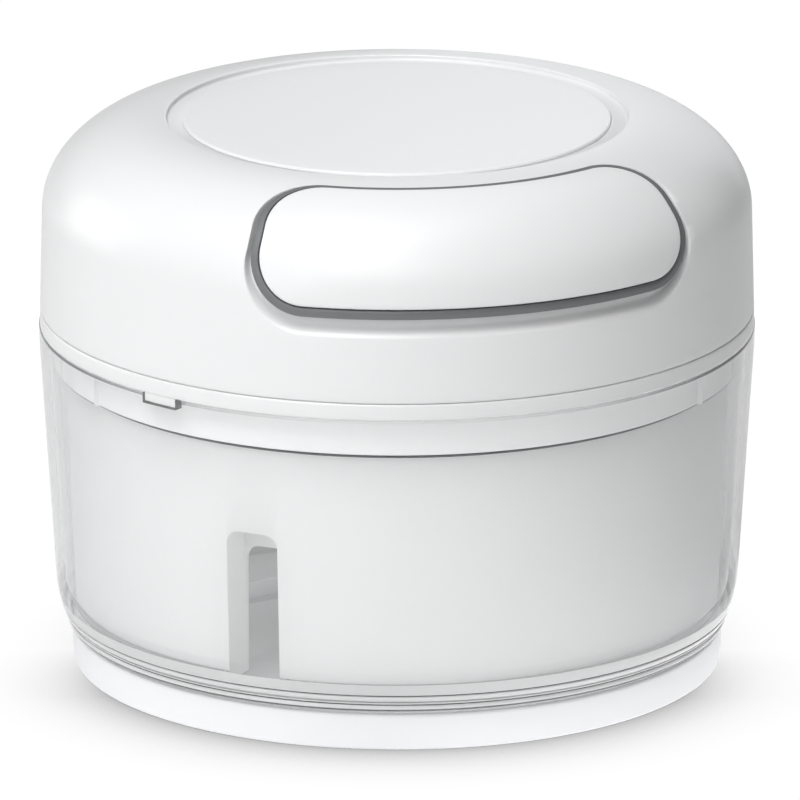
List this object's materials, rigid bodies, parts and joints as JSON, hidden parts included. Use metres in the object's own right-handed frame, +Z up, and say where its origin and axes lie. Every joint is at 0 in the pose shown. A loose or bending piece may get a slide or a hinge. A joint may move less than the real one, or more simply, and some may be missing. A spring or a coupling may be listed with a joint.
{
  "type": "hand-pulled food chopper",
  "caption": "Hand-pulled food chopper: a clear bowl on a base ring, an inner drum round a blade unit, and a domed lid whose pull handle spins the blades by a cord reel.",
  "frame": {"origin": "centre of the underside, on the surface that the chopper stands on", "axes": "+Z up along the turning axis of the bowl, lid and blades; the pull handle faces -Y"},
  "size_m": [0.1298, 0.1298, 0.1014],
  "materials": {
    "white_plastic": "glossy white moulded plastic",
    "clear_plastic": "clear polished plastic",
    "grey_plastic": "satin dark grey plastic",
    "natural_plastic": "natural unpainted plastic",
    "seal_rubber": "soft translucent silicone",
    "cord": "braided white cord",
    "steel": "bright stainless steel"
  },
  "bodies": {
    "base": {"base_ring": "white_plastic"},
    "bowl": {"bowl": "clear_plastic", "bowl_pin": "steel"},
    "blade": {"blade_column": "white_plastic", "column_bush": "natural_plastic", "blade_lower": "steel", "blade_upper": "steel", "blade_spacer": "white_plastic", "blade_collar": "white_plastic"},
    "lid": {"lid_shell": "white_plastic", "top_cap": "white_plastic", "lid_chassis": "white_plastic", "lid_gasket": "seal_rubber", "inner_drum": "white_plastic", "chassis_screw_1": "steel", "chassis_screw_2": "steel", "chassis_screw_3": "steel", "chassis_screw_4": "steel", "coupler_bush": "natural_plastic", "coupler_seal": "seal_rubber", "reel_axle": "steel", "recoil_spring": "steel", "spring_case": "natural_plastic", "case_screw_1": "steel", "case_screw_2": "steel", "case_screw_3": "steel", "cord_guide": "natural_plastic", "cord_inner_run": "cord"},
    "drive": {"drive_coupler": "natural_plastic"},
    "reel": {"pawl_carrier": "natural_plastic", "reel": "natural_plastic", "cord_winding": "cord"},
    "pawl_1": {"pawl_1": "steel"},
    "pawl_2": {"pawl_2": "steel"},
    "handle": {"handle_shell": "white_plastic", "handle_back": "grey_plastic", "cord_anchor": "steel", "handle_screw_1": "steel", "handle_screw_2": "steel", "cord_outer_run": "cord"}
  },
  "joints": [
    {"name": "bowl_lift", "type": "slide", "parent": "base", "child": "bowl", "axis": [0, 0, 1], "range_m": [0, 0.04]},
    {"name": "lid_lift", "type": "slide", "parent": "bowl", "child": "lid", "axis": [0, 0, 1], "range_m": [0, 0.11]},
    {"name": "handle_pull", "type": "slide", "parent": "lid", "child": "handle", "axis": [0, -1, 0], "range_m": [0, 0.36], "stiffness_N_per_m": 12, "springref_m": -0.25, "deforming": ["cord_outer_run"]},
    {"name": "blade_turn", "type": "hinge", "parent": "bowl", "child": "blade", "pos_m": [0, 0, 0.012], "axis": [0, 0, 1], "range_deg": [-1010, 0]},
    {"name": "drive_turn", "type": "hinge", "parent": "lid", "child": "drive", "pos_m": [0, 0, 0.06], "axis": [0, 0, 1], "range_deg": [-1010, 0]},
    {"name": "reel_turn", "type": "hinge", "parent": "lid", "child": "reel", "pos_m": [0, 0, 0.08], "axis": [0, 0, 1], "range_deg": [-1010, 0]},
    {"name": "pawl_1_swing", "type": "hinge", "parent": "reel", "child": "pawl_1", "pos_m": [0.00975, -0.00609, 0.067], "axis": [0, 0, 1], "range_deg": [0, 14]},
    {"name": "pawl_2_swing", "type": "hinge", "parent": "reel", "child": "pawl_2", "pos_m": [-0.00975, 0.00609, 0.067], "axis": [0, 0, 1], "range_deg": [0, 14]}
  ],
  "couplings": [
    {"joint": "reel_turn", "follows": "handle_pull", "rad_per_m": -48.8},
    {"joint": "drive_turn", "follows": "handle_pull", "rad_per_m": -48.8},
    {"joint": "blade_turn", "follows": "handle_pull", "rad_per_m": -48.8}
  ]
}
